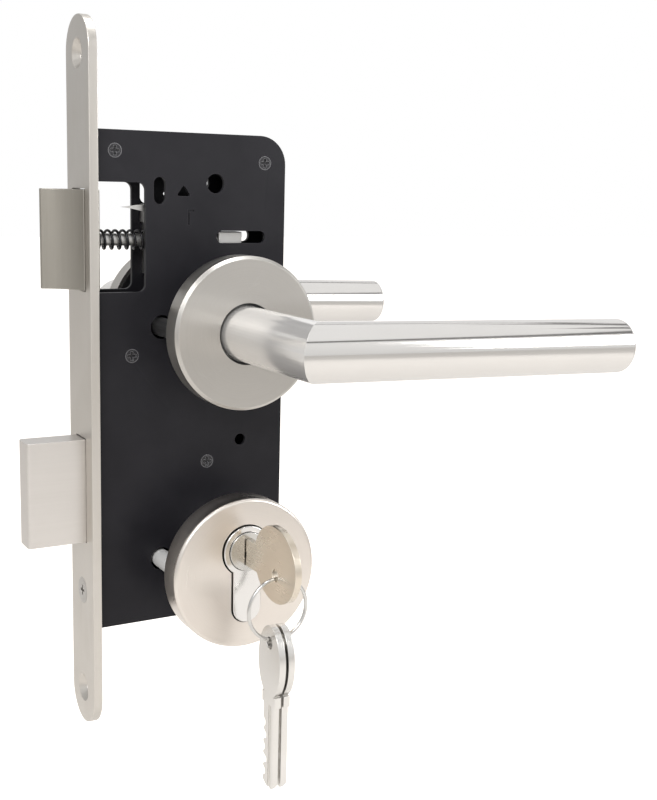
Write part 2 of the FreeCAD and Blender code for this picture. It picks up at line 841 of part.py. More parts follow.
def make_bolts(z):
    bolts = []
    for x in (backset - bolt_offset, backset + bolt_offset):
        seat = -bolt_seat()
        washer = rod_y(bolt_head_radius, seat - bolt_head_height, seat, x, z)
        shank = rod_y(bolt_radius, seat, seat + bolt_length, x, z)
        slot = block(x - bolt_head_radius, x + bolt_head_radius, seat - bolt_head_height
                     - cut_margin, seat - bolt_head_height + cross_depth,
                     z - cross_width / 2.0, z + cross_width / 2.0)
        bolts.append(joined([washer, shank]).cut(slot))
    return group(bolts)


def make_torsion_spring(side):
    """The spring in a rose that holds its lever up, as one plain sleeve."""
    top = door_face + base_depth - bearing_depth - seat_gap
    outer = torsion_radius + torsion_thickness
    return turned([(torsion_radius, top - torsion_height), (outer, top - torsion_height),
                   (outer, top), (torsion_radius, top)], backset, lever_height, side)


for name, side in (("front", -1), ("back", 1)):
    SHAPES["lever_rose_" + name] = make_lever_rose(side)
    SHAPES["lever_base_" + name] = make_lever_base(side)
    SHAPES["cylinder_rose_" + name] = make_cylinder_rose(side)
    SHAPES["cylinder_base_" + name] = make_cylinder_base(side)
SHAPES["lever_springs"] = group([make_torsion_spring(-1), make_torsion_spring(1)])
SHAPES["lever_rose_posts"] = make_posts(lever_height)
SHAPES["lever_rose_bolts"] = make_bolts(lever_height)
SHAPES["cylinder_rose_posts"] = make_posts(cylinder_rose_z)
SHAPES["cylinder_rose_bolts"] = make_bolts(cylinder_rose_z)


# Deadbolt

def make_deadbolt():
    half = bolt_thickness / 2.0
    low = bolt_height - bolt_size / 2.0
    head = block(-bolt_throw, bolt_rear, -half, half, low, low + bolt_size)
    nose = [edge for edge in head.Edges
            if edge.BoundBox.XMax < -bolt_throw + cut_margin
            and edge.BoundBox.ZLength > bolt_size / 2.0]
    head = head.makeFillet(bolt_edge_round, nose)
    side = bolt_tail_thickness / 2.0
    slot = block(bolt_rear - bolt_tail_seat, bolt_rear + cut_margin, -side, side,
                 bolt_tail_bottom, bolt_tail_top)
    return head.cut([slot] + bolt_pin_rods())


def bolt_pin_rods():
    middle = (bolt_tail_top + bolt_tail_bottom) / 2.0
    half = bolt_thickness / 2.0
    return [rod_y(bolt_pin_radius, -half, half, bolt_rear - bolt_pin_inset,
                  middle + sign * bolt_pin_spacing / 2.0) for sign in (-1, 1)]


def make_bolt_tail():
    side = bolt_tail_thickness / 2.0
    plate = block(bolt_rear - bolt_tail_seat, bolt_tail_end, -side, side,
                  bolt_tail_bottom, bolt_tail_top)
    x, z = guide_pillar
    radius = pillar_radius + slide_gap
    near = x - bolt_throw
    slot = joined([rod_y(radius, -side - cut_margin, side + cut_margin, near, z),
                   rod_y(radius, -side - cut_margin, side + cut_margin, x, z),
                   block(near, x, -side - cut_margin, side + cut_margin,
                         z - radius, z + radius)])
    talon_top = key_axis_z + cam_radius + cut_margin
    talon = block(bolt_rear, talon_end, -side - cut_margin, side + cut_margin,
                  bolt_tail_bottom - cut_margin, talon_top)
    return plate.cut([slot, talon] + bolt_pin_rods())


def make_bolt_spring():
    """A leaf with an eye on its pillar, whose foot rides on the bolt's tail."""
    x, z = spring_pillar
    half = leaf_width / 2.0
    inner = pillar_radius + seat_gap
    eye = rod_y(inner + leaf_thickness, -half, half, x, z)
    start = Vector(x + inner, -half, z)
    end = Vector(leaf_foot, -half, bolt_tail_top + slide_gap + leaf_thickness / 2.0)
    along = end - start
    across = Vector(-along.z, 0, along.x).normalize() * (leaf_thickness / 2.0)
    strip = Part.Face(Part.makePolygon([start + across, end + across, end - across,
                                        start - across, start + across]))
    strip = strip.extrude(Vector(0, leaf_width, 0))
    foot = rod_y(leaf_thickness / 2.0, -half, half, end.x, end.z)
    hole = rod_y(inner, -half - cut_margin, half + cut_margin, x, z)
    return joined([eye, strip, foot]).cut(hole)


SHAPES["deadbolt"] = make_deadbolt()
SHAPES["bolt_tail"] = make_bolt_tail()
SHAPES["bolt_pins"] = group(bolt_pin_rods())
SHAPES["bolt_spring"] = make_bolt_spring()


# Profile cylinder

def make_cylinder_body():
    body = euro_profile(0, -cylinder_half, cylinder_half)
    slot_half = cam_width / 2.0 + cam_gap
    bore = rod_y(plug_radius + fit_gap, -cylinder_half - cut_margin,
                 cylinder_half + cut_margin, backset, key_axis_z)
    cam_space = rod_y(cam_radius + slide_gap, -slot_half, slot_half, backset, key_axis_z)
    thread = rod_x(cylinder_screw_radius + seat_gap, backset - cylinder_tail_width,
                   backset + cylinder_tail_width, 0, cylinder_screw_z)
    return body.cut([bore, cam_space, thread])


def keyway(y0, y1):
    half = keyway_width / 2.0
    blade_half = key_blade_height / 2.0 + keyway_gap
    return block(backset - half, backset + half, y0, y1,
                 key_axis_z - blade_half, key_axis_z + blade_half)


def make_plug(side):
    near = cam_width / 2.0
    if side > 0:
        near += cam_gap * 2.0
    y0, y1 = span(side, near, cylinder_half + plug_step)
    plug = rod_y(plug_radius, y0, y1, backset, key_axis_z)
    slot_near = cylinder_half - key_blade_length - keyway_gap
    k0, k1 = span(side, slot_near, cylinder_half + plug_step + cut_margin)
    return plug.cut(keyway(k0, k1))


def make_cam():
    half = cam_width / 2.0
    hub = rod_y(cam_hub_radius, -half, half, 0, 0)
    side = cam_lug_width / 2.0
    lug = block(-side, side, -half, half, -cam_radius, 0)
    lug = lug.common(rod_y(cam_radius, -half, half, 0, 0))
    cam = joined([hub, lug])
    cam.rotate(Vector(0, 0, 0), Vector(0, 1, 0), cam_rest_angle)
    cam.translate(Vector(backset, 0, key_axis_z))
    return cam


def make_cylinder_screw():
    end = backset + cylinder_tail_width / 2.0
    shank = rod_x(cylinder_screw_radius, 0, end, 0, cylinder_screw_z)
    head = Part.makeCone(cylinder_screw_head_radius, cylinder_screw_radius,
                         cylinder_screw_head_radius - cylinder_screw_radius,
                         Vector(0, 0, cylinder_screw_z), Vector(1, 0, 0))
    bars = [block(-cut_margin, cross_depth, -a / 2.0, a / 2.0,
                  cylinder_screw_z - b / 2.0, cylinder_screw_z + b / 2.0)
            for a, b in ((cross_width, cross_length), (cross_length, cross_width))]
    return joined([head, shank]).cut(bars)


SHAPES["cylinder_body"] = make_cylinder_body()
SHAPES["plug_front"] = make_plug(-1)
SHAPES["plug_back"] = make_plug(1)
SHAPES["cam"] = make_cam()
SHAPES["cylinder_screw"] = make_cylinder_screw()


# Keys

def oval(width, height, x0, x1, y, z):
    """An oval plate across X, as wide along Y and as high along Z as given."""
    major = max(width, height) / 2.0
    minor = min(width, height) / 2.0
    if width >= height:
        curve = Part.Ellipse(Vector(0, major, 0), Vector(0, 0, minor), Vector(0, 0, 0))
    else:
        curve = Part.Ellipse(Vector(0, 0, major), Vector(0, minor, 0), Vector(0, 0, 0))
    face = Part.Face(Part.Wire([curve.toShape()]))
    solid = face.extrude(Vector(x1 - x0, 0, 0))
    solid.translate(Vector(x0, y, z))
    return solid


def bit_cuts(x0, x1, tip, edge):
    """V cuts along the edge of a blade that points along +Y, with its tip at the given Y."""
    cuts = []
    for index in range(key_cut_count):
        depth = key_cut_depths[index]
        middle = tip - key_cut_spacing * (index + 1)
        wide = key_cut_spacing / 2.0
        points = [Vector(x0, middle - wide, edge + cut_margin),
                  Vector(x0, middle - wide / 3.0, edge - depth),
                  Vector(x0, middle + wide / 3.0, edge - depth),
                  Vector(x0, middle + wide, edge + cut_margin)]
        face = Part.Face(Part.makePolygon(points + points[:1]))
        cuts.append(face.extrude(Vector(x1 - x0, 0, 0)))
    return cuts


def make_key_blade(x0, x1, root, tip, z, height):
    """A cut blade along +Y with a groove down one side and a pointed tip."""
    half = height / 2.0
    slope = height / 3.0
    points = [Vector(x0, root, z - half), Vector(x0, tip - slope, z - half),
              Vector(x0, tip, z - half + slope), Vector(x0, tip - slope, z + half),
              Vector(x0, root, z + half)]
    face = Part.Face(Part.makePolygon(points + points[:1]))
    blade = face.extrude(Vector(x1 - x0, 0, 0))
    groove = block(x0 - cut_margin, x0 + key_groove_depth, root - key_neck_length,
                   tip + cut_margin, z - key_groove_height, z)
    return blade.cut([groove] + bit_cuts(x0 - cut_margin, x1 + cut_margin, tip - slope / 2.0,
                                         z + half))


def key_bow_y():
    return -(cylinder_half + key_neck_length + key_bow_length / 2.0)


def key_hole_y():
    return key_bow_y() - key_hole_shift


def key_hole_z():
    return key_axis_z - key_hole_drop


def make_key():
    x0 = backset - key_thickness / 2.0
    x1 = backset + key_thickness / 2.0
    shoulder = -(cylinder_half + plug_step * 2.0)
    bow = oval(key_bow_length, key_bow_height, x0, x1, key_bow_y(), key_axis_z + key_bow_rise)
    neck = block(x0, x1, key_bow_y() + key_bow_length / 4.0, shoulder,
                 key_axis_z - key_neck_height / 2.0, key_axis_z + key_neck_height / 2.0)
    blade = make_key_blade(x0, x1, shoulder - cut_margin, -cylinder_half + key_blade_length,
                           key_axis_z, key_blade_height)
    hole = rod_x(key_hole_radius, x0 - cut_margin, x1 + cut_margin, key_hole_y(), key_hole_z())
    return joined([bow, neck, blade]).cut(hole)


def ring_top():
    """Height of the ring's wire where it hangs in the key's hole."""
    return key_hole_z() - key_hole_radius + ring_play + ring_wire_radius


def ring_bottom():
    return ring_top() - 2.0 * (ring_outer_radius - ring_wire_radius)


def make_key_ring():
    middle = (ring_top() + ring_bottom()) / 2.0
    return Part.makeTorus(ring_outer_radius - ring_wire_radius, ring_wire_radius,
                          Vector(backset, key_hole_y(), middle), Vector(0, 1, 0))


def make_spare_key(offset):
    """A key hanging from the bottom of the ring, its blade down."""
    x0 = backset + offset - key_thickness / 2.0
    x1 = x0 + key_thickness
    y = key_hole_y()
    centre_radius = ring_outer_radius - ring_wire_radius
    reach = (spare_spacing + key_thickness) / 2.0
    rise = centre_radius - math.sqrt(centre_radius ** 2 - reach ** 2)
    hole_z = ring_bottom() + rise + ring_wire_radius + ring_play - key_hole_radius
    bow_top = hole_z + key_hole_radius + spare_bow_top
    bow_z = bow_top - spare_bow_height / 2.0
    bow = oval(spare_bow_width, spare_bow_height, x0, x1, y, bow_z)
    root = bow_z - spare_bow_height / 2.0
    neck = block(x0, x1, y - key_neck_height / 2.0, y + key_neck_height / 2.0,
                 root - spare_neck_length, root + spare_neck_length / 2.0)
    blade = make_key_blade(x0, x1, 0, spare_blade_length, 0, spare_blade_height)
    blade.rotate(Vector(x0, 0, 0), Vector(1, 0, 0), -90)
    blade.translate(Vector(0, y, root - spare_neck_length))
    hole = rod_x(key_hole_radius, x0 - cut_margin, x1 + cut_margin, y, hole_z)
    return joined([bow, neck, blade]).cut(hole)


SHAPES["key"] = make_key()
SHAPES["key_ring"] = make_key_ring()
SHAPES["spare_key_a"] = make_spare_key(-spare_spacing / 2.0)
SHAPES["spare_key_b"] = make_spare_key(spare_spacing / 2.0)

os.makedirs("parts", exist_ok=True)
for name, shape in SHAPES.items():
    shape.exportStep(os.path.join("parts", name + ".step"))
    print(name, "solids", len(shape.Solids), "volume", round(shape.Volume / 1000.0, 2), "cm3")
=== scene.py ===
import json
import math

import bmesh
import bpy
from mathutils import Matrix, Vector


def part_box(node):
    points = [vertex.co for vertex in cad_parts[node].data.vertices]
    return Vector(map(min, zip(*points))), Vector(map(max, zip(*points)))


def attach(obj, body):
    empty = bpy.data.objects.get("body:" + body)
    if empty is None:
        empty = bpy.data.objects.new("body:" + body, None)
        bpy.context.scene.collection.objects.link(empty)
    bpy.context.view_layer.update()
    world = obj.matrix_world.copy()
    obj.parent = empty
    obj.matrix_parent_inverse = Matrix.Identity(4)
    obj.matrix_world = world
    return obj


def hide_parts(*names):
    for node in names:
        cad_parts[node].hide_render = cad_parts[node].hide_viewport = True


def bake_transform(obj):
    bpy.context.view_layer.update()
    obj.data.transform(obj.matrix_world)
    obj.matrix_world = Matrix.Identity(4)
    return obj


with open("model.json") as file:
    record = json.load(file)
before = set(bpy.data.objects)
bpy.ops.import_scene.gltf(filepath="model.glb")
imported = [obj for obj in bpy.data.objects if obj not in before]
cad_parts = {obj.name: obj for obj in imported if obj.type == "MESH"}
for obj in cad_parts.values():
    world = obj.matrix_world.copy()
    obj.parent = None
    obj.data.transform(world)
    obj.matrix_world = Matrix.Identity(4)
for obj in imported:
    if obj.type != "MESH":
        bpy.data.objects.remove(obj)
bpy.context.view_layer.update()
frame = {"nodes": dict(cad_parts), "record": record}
nodes = frame["nodes"]
behaviour = frame["record"]["behaviour"]
bodyOf = {nodeName: body for body, names in behaviour["bodies"].items() for nodeName in names}
jointPlaces = {joint["name"]: joint.get("pos_m") for joint in behaviour["joints"]}
mm = 0.001


# shader helpers

def newGroup(name, inputs, outputs):
    group = bpy.data.node_groups.new(name, "ShaderNodeTree")
    for socketName, kind, value in inputs:
        socket = group.interface.new_socket(name=socketName, in_out="INPUT", socket_type=kind)
        socket.default_value = value
    for socketName, kind in outputs:
        group.interface.new_socket(name=socketName, in_out="OUTPUT", socket_type=kind)
    inside = group.nodes.new("NodeGroupInput")
    outside = group.nodes.new("NodeGroupOutput")
    return group, inside, outside


def addNode(tree, kind, **settings):
    node = tree.nodes.new(kind)
    for key, value in settings.items():
        setattr(node, key, value)
    return node


# a plain value goes into the socket, anything else is linked to it
def feed(tree, socket, value):
    if isinstance(value, (int, float, tuple)):
        socket.default_value = value
    else:
        tree.links.new(value, socket)


def mathNode(tree, operation, *values):
    node = addNode(tree, "ShaderNodeMath", operation=operation)
    for socket, value in zip(node.inputs, values):
        feed(tree, socket, value)
    return node.outputs[0]


def rampNode(tree, value, low, high):
    node = addNode(tree, "ShaderNodeMapRange", clamp=True)
    tree.links.new(value, node.inputs["Value"])
    node.inputs["From Min"].default_value = low
    node.inputs["From Max"].default_value = high
    return node.outputs["Result"]


# fine lines left by a brushing belt, longest where the stretch is smallest
brushing = {"detail": 3.0, "roughness": 0.65, "bumpHeight": 0.00002}


def buildBrushGroup():
    group, inside, outside = newGroup(
        "brushedLines",
        [("Stretch", "NodeSocketVector", (1.0, 1.0, 1.0)),
         ("Fineness", "NodeSocketFloat", 900.0),
         ("Depth", "NodeSocketFloat", 0.1)],
        [("Lines", "NodeSocketFloat"), ("Normal", "NodeSocketVector")])
    coord = addNode(group, "ShaderNodeTexCoord")
    scaled = addNode(group, "ShaderNodeVectorMath", operation="MULTIPLY")
    group.links.new(coord.outputs["Object"], scaled.inputs[0])
    group.links.new(inside.outputs["Stretch"], scaled.inputs[1])
    fine = addNode(group, "ShaderNodeTexNoise")
    fine.inputs["Detail"].default_value = brushing["detail"]
    fine.inputs["Roughness"].default_value = brushing["roughness"]
    group.links.new(scaled.outputs[0], fine.inputs["Vector"])
    group.links.new(inside.outputs["Fineness"], fine.inputs["Scale"])
    bump = addNode(group, "ShaderNodeBump")
    bump.inputs["Distance"].default_value = brushing["bumpHeight"]
    group.links.new(inside.outputs["Depth"], bump.inputs["Strength"])
    group.links.new(fine.outputs["Fac"], bump.inputs["Height"])
    group.links.new(fine.outputs["Fac"], outside.inputs["Lines"])
    group.links.new(bump.outputs["Normal"], outside.inputs["Normal"])
    return group


# rings left by turning a round part about an axis along Y
turning = {"detail": 2.0, "bumpHeight": 0.00002, "acrossAxis": (1.0, 0.0, 1.0)}


def buildTurnedGroup():
    group, inside, outside = newGroup(
        "turnedRings",
        [("Centre", "NodeSocketVector", (0.0, 0.0, 0.0)),
         ("Fineness", "NodeSocketFloat", 3500.0),
         ("Depth", "NodeSocketFloat", 0.1)],
        [("Rings", "NodeSocketFloat"), ("Normal", "NodeSocketVector")])
    coord = addNode(group, "ShaderNodeTexCoord")
    moved = addNode(group, "ShaderNodeVectorMath", operation="SUBTRACT")
    group.links.new(coord.outputs["Object"], moved.inputs[0])
    group.links.new(inside.outputs["Centre"], moved.inputs[1])
    flat = addNode(group, "ShaderNodeVectorMath", operation="MULTIPLY")
    flat.inputs[1].default_value = turning["acrossAxis"]
    group.links.new(moved.outputs[0], flat.inputs[0])
    radius = addNode(group, "ShaderNodeVectorMath", operation="LENGTH")
    group.links.new(flat.outputs[0], radius.inputs[0])
    rings = addNode(group, "ShaderNodeTexNoise", noise_dimensions="1D")
    rings.inputs["Detail"].default_value = turning["detail"]
    group.links.new(radius.outputs["Value"], rings.inputs["W"])
    group.links.new(inside.outputs["Fineness"], rings.inputs["Scale"])
    bump = addNode(group, "ShaderNodeBump")
    bump.inputs["Distance"].default_value = turning["bumpHeight"]
    group.links.new(inside.outputs["Depth"], bump.inputs["Strength"])
    group.links.new(rings.outputs["Fac"], bump.inputs["Height"])
    group.links.new(rings.outputs["Fac"], outside.inputs["Rings"])
    group.links.new(bump.outputs["Normal"], outside.inputs["Normal"])
    return group


# slow patches of handling and a few thin scratches, both as masks
handling = {"detail": 4.0, "patchLimits": (0.35, 0.7), "scratchStretch": (1.0, 0.22, 0.35),
            "scratchWidth": 0.012, "scratchBreaks": (0.52, 0.62)}


def buildWearGroup():
    group, inside, outside = newGroup(
        "handledPatches",
        [("Patch Size", "NodeSocketFloat", 60.0), ("Scratch Size", "NodeSocketFloat", 220.0)],
        [("Patches", "NodeSocketFloat"), ("Scratches", "NodeSocketFloat")])
    coord = addNode(group, "ShaderNodeTexCoord")
    slow = addNode(group, "ShaderNodeTexNoise")
    slow.inputs["Detail"].default_value = handling["detail"]
    group.links.new(coord.outputs["Object"], slow.inputs["Vector"])
    group.links.new(inside.outputs["Patch Size"], slow.inputs["Scale"])
    warp = addNode(group, "ShaderNodeVectorMath", operation="MULTIPLY")
    warp.inputs[1].default_value = handling["scratchStretch"]
    group.links.new(coord.outputs["Object"], warp.inputs[0])
    thin = addNode(group, "ShaderNodeTexVoronoi", feature="DISTANCE_TO_EDGE")
    group.links.new(warp.outputs[0], thin.inputs["Vector"])
    group.links.new(inside.outputs["Scratch Size"], thin.inputs["Scale"])
    line = rampNode(group, thin.outputs["Distance"], handling["scratchWidth"], 0.0)
    broken = rampNode(group, slow.outputs["Fac"], *handling["scratchBreaks"])
    patches = rampNode(group, slow.outputs["Fac"], *handling["patchLimits"])
    group.links.new(patches, outside.inputs["Patches"])
    group.links.new(mathNode(group, "MULTIPLY", line, broken), outside.inputs["Scratches"])
    return group


# paler at edges, from the angle between the true and a rounded normal: rubbed wear on most parts, a
# painted highlight on the screw rims
edgeWearAndHighlight = {"samples": 4, "startsAt": 0.985, "fullAt": 0.80}


def buildEdgeGroup():
    group, inside, outside = newGroup(
        "wornAndHighlitEdge",
        [("Width", "NodeSocketFloat", 0.0006)],
        [("Edge", "NodeSocketFloat")])
    rounded = addNode(group, "ShaderNodeBevel", samples=edgeWearAndHighlight["samples"])
    group.links.new(inside.outputs["Width"], rounded.inputs["Radius"])
    true = addNode(group, "ShaderNodeNewGeometry")
    dot = addNode(group, "ShaderNodeVectorMath", operation="DOT_PRODUCT")
    group.links.new(rounded.outputs["Normal"], dot.inputs[0])
    group.links.new(true.outputs["Normal"], dot.inputs[1])
    wornAndHighlitEdges = rampNode(group, dot.outputs["Value"], edgeWearAndHighlight["startsAt"], edgeWearAndHighlight["fullAt"])
    group.links.new(wornAndHighlitEdges, outside.inputs["Edge"])
    return group


brushGroup = buildBrushGroup()
turnedGroup = buildTurnedGroup()
wearGroup = buildWearGroup()
edgeGroup = buildEdgeGroup()
print("shader groups built")


# sockets 6 and 7 of a colour mix are its two colours, output 2 is the result
def mixColour(tree, factor, first, second):
    mix = addNode(tree, "ShaderNodeMix", data_type="RGBA")
    feed(tree, mix.inputs["Factor"], factor)
    feed(tree, mix.inputs[6], first)
    feed(tree, mix.inputs[7], second)
    return mix.outputs[2]


def startMaterial(name, metallic):
    material = bpy.data.materials.new(name)
    material.use_nodes = True
    tree = material.node_tree
    shader = tree.nodes["Principled BSDF"]
    shader.inputs["Metallic"].default_value = metallic
    return material, tree, shader


def placeGroup(tree, group, **values):
    node = addNode(tree, "ShaderNodeGroup", node_tree=group)
    for key, value in values.items():
        node.inputs[key.replace("_", " ")].default_value = value
    return node


# a brushed or turned metal with handling marks and rubbed edges
def metalMaterial(name, settings):
    material, tree, shader = startMaterial(name, settings["metallic"])
    if "centre" in settings:
        grain = placeGroup(tree, turnedGroup, Centre=settings["centre"],
                           Fineness=settings["fineness"], Depth=settings["depth"])
        lines = grain.outputs["Rings"]
    else:
        grain = placeGroup(tree, brushGroup, Stretch=settings["stretch"],
                           Fineness=settings["fineness"], Depth=settings["depth"])
        lines = grain.outputs["Lines"]
    wear = placeGroup(tree, wearGroup, Patch_Size=settings["patchSize"],
                      Scratch_Size=settings["scratchSize"])
    edge = placeGroup(tree, edgeGroup, Width=settings["edgeWidth"])
    colour = mixColour(tree, wear.outputs["Patches"], settings["colour"], settings["patchColour"])
    for mask, layer in ((lines, "line"), (wear.outputs["Scratches"], "scratch"),
                        (edge.outputs["Edge"], "edge")):
        amount = mathNode(tree, "MULTIPLY", mask, settings[layer + "Tone"])
        colour = mixColour(tree, amount, colour, settings[layer + "Colour"])
    tree.links.new(colour, shader.inputs["Base Color"])
    smoothest = settings["rough"] - settings["roughSpread"] / 2.0
    rough = mathNode(tree, "MULTIPLY_ADD", lines, settings["roughSpread"], smoothest)
    handled = mathNode(tree, "MULTIPLY_ADD", wear.outputs["Patches"], settings["patchRough"], rough)
    tree.links.new(handled, shader.inputs["Roughness"])
    tree.links.new(grain.outputs["Normal"], shader.inputs["Normal"])
    shader.inputs["Anisotropic"].default_value = settings["anisotropic"]
    return material


def look(**changes):
    values = dict(colour=(0.60, 0.59, 0.57, 1), patchColour=(0.55, 0.54, 0.52, 1),
                  lineColour=(0.75, 0.74, 0.72, 1), scratchColour=(0.85, 0.85, 0.84, 1),
                  edgeColour=(0.9, 0.9, 0.88, 1), lineTone=0.5, scratchTone=0.06, edgeTone=0.4,
                  rough=0.3, roughSpread=0.12, patchRough=0.05, stretch=(1, 1, 0.02),
                  fineness=900.0, depth=0.25, patchSize=40.0, scratchSize=260.0,
                  edgeWidth=0.0004, metallic=1.0, anisotropic=0.0)
    values.update(changes)
    return values


leverAxis = tuple(jointPlaces["lever_turn"])
keyAxis = tuple(jointPlaces["key_turn"])
keyRoseLow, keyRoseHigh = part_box("cylinder_rose_front")
keyRoseCentre = tuple((keyRoseLow + keyRoseHigh) / 2.0)
metalLooks = {
    "forendNickel": look(colour=(0.60, 0.57, 0.53, 1), patchColour=(0.56, 0.53, 0.485, 1),
                         lineColour=(0.70, 0.67, 0.63, 1), rough=0.34,
                         stretch=(1, 1, 0.012), fineness=1500.0),
    # latch nickel darker than the forend's: painted shade of its concave face
    "latchNickelPaintedShade": look(colour=(0.33, 0.31, 0.275, 1), patchColour=(0.30, 0.28, 0.245, 1),
                        lineColour=(0.41, 0.39, 0.35, 1), rough=0.40, stretch=(1, 1, 0.03)),
    "boltNickel": look(colour=(0.69, 0.66, 0.63, 1), patchColour=(0.65, 0.62, 0.59, 1),
                       lineColour=(0.78, 0.75, 0.72, 1), rough=0.34, stretch=(0.02, 1, 1)),
    "gripSteel": look(colour=(0.70, 0.68, 0.66, 1), patchColour=(0.67, 0.65, 0.63, 1),
                      rough=0.11, roughSpread=0.02, patchRough=0.01, stretch=(0.02, 1, 1),
                      fineness=1600.0, depth=0.02, metallic=0.9),
    # paler, less metallic copy of the grip's steel: painted light on the neck
    "neckSteelPaintedLight": look(colour=(0.84, 0.82, 0.80, 1), patchColour=(0.80, 0.78, 0.76, 1),
                      rough=0.17, roughSpread=0.03, patchRough=0.01, stretch=(1, 0.02, 1),
                      fineness=1600.0, depth=0.02, metallic=0.6),
    "roseSteel": look(colour=(0.53, 0.51, 0.48, 1), patchColour=(0.50, 0.48, 0.45, 1),
                      lineColour=(0.60, 0.58, 0.55, 1), rough=0.30, centre=leverAxis,
                      fineness=2600.0, depth=0.12, anisotropic=0.5),
    "keyRoseSteel": look(colour=(0.74, 0.69, 0.64, 1), patchColour=(0.71, 0.65, 0.60, 1),
                         lineColour=(0.80, 0.76, 0.71, 1), rough=0.30,
                         centre=keyRoseCentre, fineness=2600.0, depth=0.1,
                         anisotropic=0.5),
    "cylinderNickel": look(colour=(0.74, 0.73, 0.72, 1), patchColour=(0.70, 0.69, 0.68, 1),
                           rough=0.09, roughSpread=0.04, stretch=(1, 0.02, 1), depth=0.04),
    "plugNickel": look(colour=(0.58, 0.57, 0.54, 1), rough=0.18, centre=keyAxis,
                       fineness=4200.0, depth=0.25),
    "keyNickel": look(colour=(0.72, 0.65, 0.55, 1), patchColour=(0.62, 0.55, 0.45, 1),
                      lineColour=(0.76, 0.69, 0.60, 1), rough=0.27, stretch=(1, 0.05, 1),
                      scratchTone=0.02, edgeTone=0.2, depth=0.04, patchRough=0.06,
                      patchSize=55.0),
    "spareNickel": look(colour=(0.76, 0.74, 0.72, 1), patchColour=(0.70, 0.68, 0.65, 1),
                        rough=0.22, stretch=(1, 1, 0.05), scratchTone=0.02, depth=0.05,
                        patchRough=0.05),
    "zincSteel": look(colour=(0.58, 0.58, 0.58, 1), rough=0.38, stretch=(0.05, 1, 1)),
    "screwZinc": look(colour=(0.36, 0.34, 0.32, 1), rough=0.38, stretch=(0.05, 1, 1)),
    # lever rose posts and bolts in dark steel: painted shade in the rose holes
    "postSteelPaintedShade": look(colour=(0.20, 0.20, 0.21, 1), patchColour=(0.16, 0.16, 0.17, 1),
                      rough=0.35, stretch=(1, 0.02, 1)),
    # cylinder rose posts pale and barely metallic: painted light against their shade
    "brightPostPaintedLight": look(colour=(0.86, 0.86, 0.85, 1), patchColour=(0.8, 0.8, 0.79, 1),
                       rough=0.35, stretch=(1, 0.02, 1), metallic=0.2),
    "springSteel": look(colour=(0.035, 0.035, 0.038, 1), patchColour=(0.025, 0.025, 0.028, 1),
                        lineColour=(0.06, 0.06, 0.065, 1), edgeTone=0.1, rough=0.33),
    "ringWire": look(colour=(0.60, 0.60, 0.59, 1), rough=0.12, depth=0.05),
    # bases near black so the gaps in the roses' holes read as painted shade
    "baseZincPaintedShade": look(colour=(0.06, 0.06, 0.062, 1), patchColour=(0.05, 0.05, 0.052, 1),
                     lineColour=(0.08, 0.08, 0.082, 1), rough=0.5, stretch=(1, 1, 1)),
}


# black lacquer with a faint orange peel and rubbed, slightly paler edges; on the screws the paler
# edge is a painted highlight
lacquer = {"colour": (0.011, 0.0105, 0.0135, 1), "dustColour": (0.018, 0.0175, 0.021, 1),
           "edgeColour": (0.05, 0.05, 0.055, 1), "specular": 0.2, "rough": 0.38,
           "roughSpread": 0.14, "peelScale": 900.0, "peelDetail": 2.0, "peelDepth": 0.06,
           "peelHeight": 0.00005, "patchSize": 35.0, "edgeWidth": 0.0005, "edgeTone": 0.55}


def lacquerMaterial(name, settings):
    material, tree, shader = startMaterial(name, 0.0)
    shader.inputs["Specular IOR Level"].default_value = settings["specular"]
    coord = addNode(tree, "ShaderNodeTexCoord")
    peel = addNode(tree, "ShaderNodeTexNoise")
    peel.inputs["Scale"].default_value = settings["peelScale"]
    peel.inputs["Detail"].default_value = settings["peelDetail"]
    tree.links.new(coord.outputs["Object"], peel.inputs["Vector"])
    bump = addNode(tree, "ShaderNodeBump")
    bump.inputs["Strength"].default_value = settings["peelDepth"]
    bump.inputs["Distance"].default_value = settings["peelHeight"]
    tree.links.new(peel.outputs["Fac"], bump.inputs["Height"])
    wear = placeGroup(tree, wearGroup, Patch_Size=settings["patchSize"])
    edge = placeGroup(tree, edgeGroup, Width=settings["edgeWidth"])
    dusty = mixColour(tree, wear.outputs["Patches"], settings["colour"], settings["dustColour"])
    amount = mathNode(tree, "MULTIPLY", edge.outputs["Edge"], settings["edgeTone"])
    wornAndHighlitEdges = mixColour(tree, amount, dusty, settings["edgeColour"])
    tree.links.new(wornAndHighlitEdges, shader.inputs["Base Color"])
    rough = mathNode(tree, "MULTIPLY_ADD", wear.outputs["Patches"], settings["roughSpread"],
                     settings["rough"])
    tree.links.new(rough, shader.inputs["Roughness"])
    tree.links.new(bump.outputs["Normal"], shader.inputs["Normal"])
    return material


# screws: a brighter edge colour at nearly full tone, a painted highlight on their rims
screwLacquerPaintedHighlight = dict(lacquer, rough=0.22, edgeTone=0.9, specular=0.5,
                    edgeColour=(0.22, 0.22, 0.23, 1))
materials = {name: metalMaterial(name, settings) for name, settings in metalLooks.items()}
materials["caseLacquer"] = lacquerMaterial("caseLacquer", lacquer)
materials["screwBlack"] = lacquerMaterial("screwBlack", screwLacquerPaintedHighlight)
print("materials built:", len(materials))

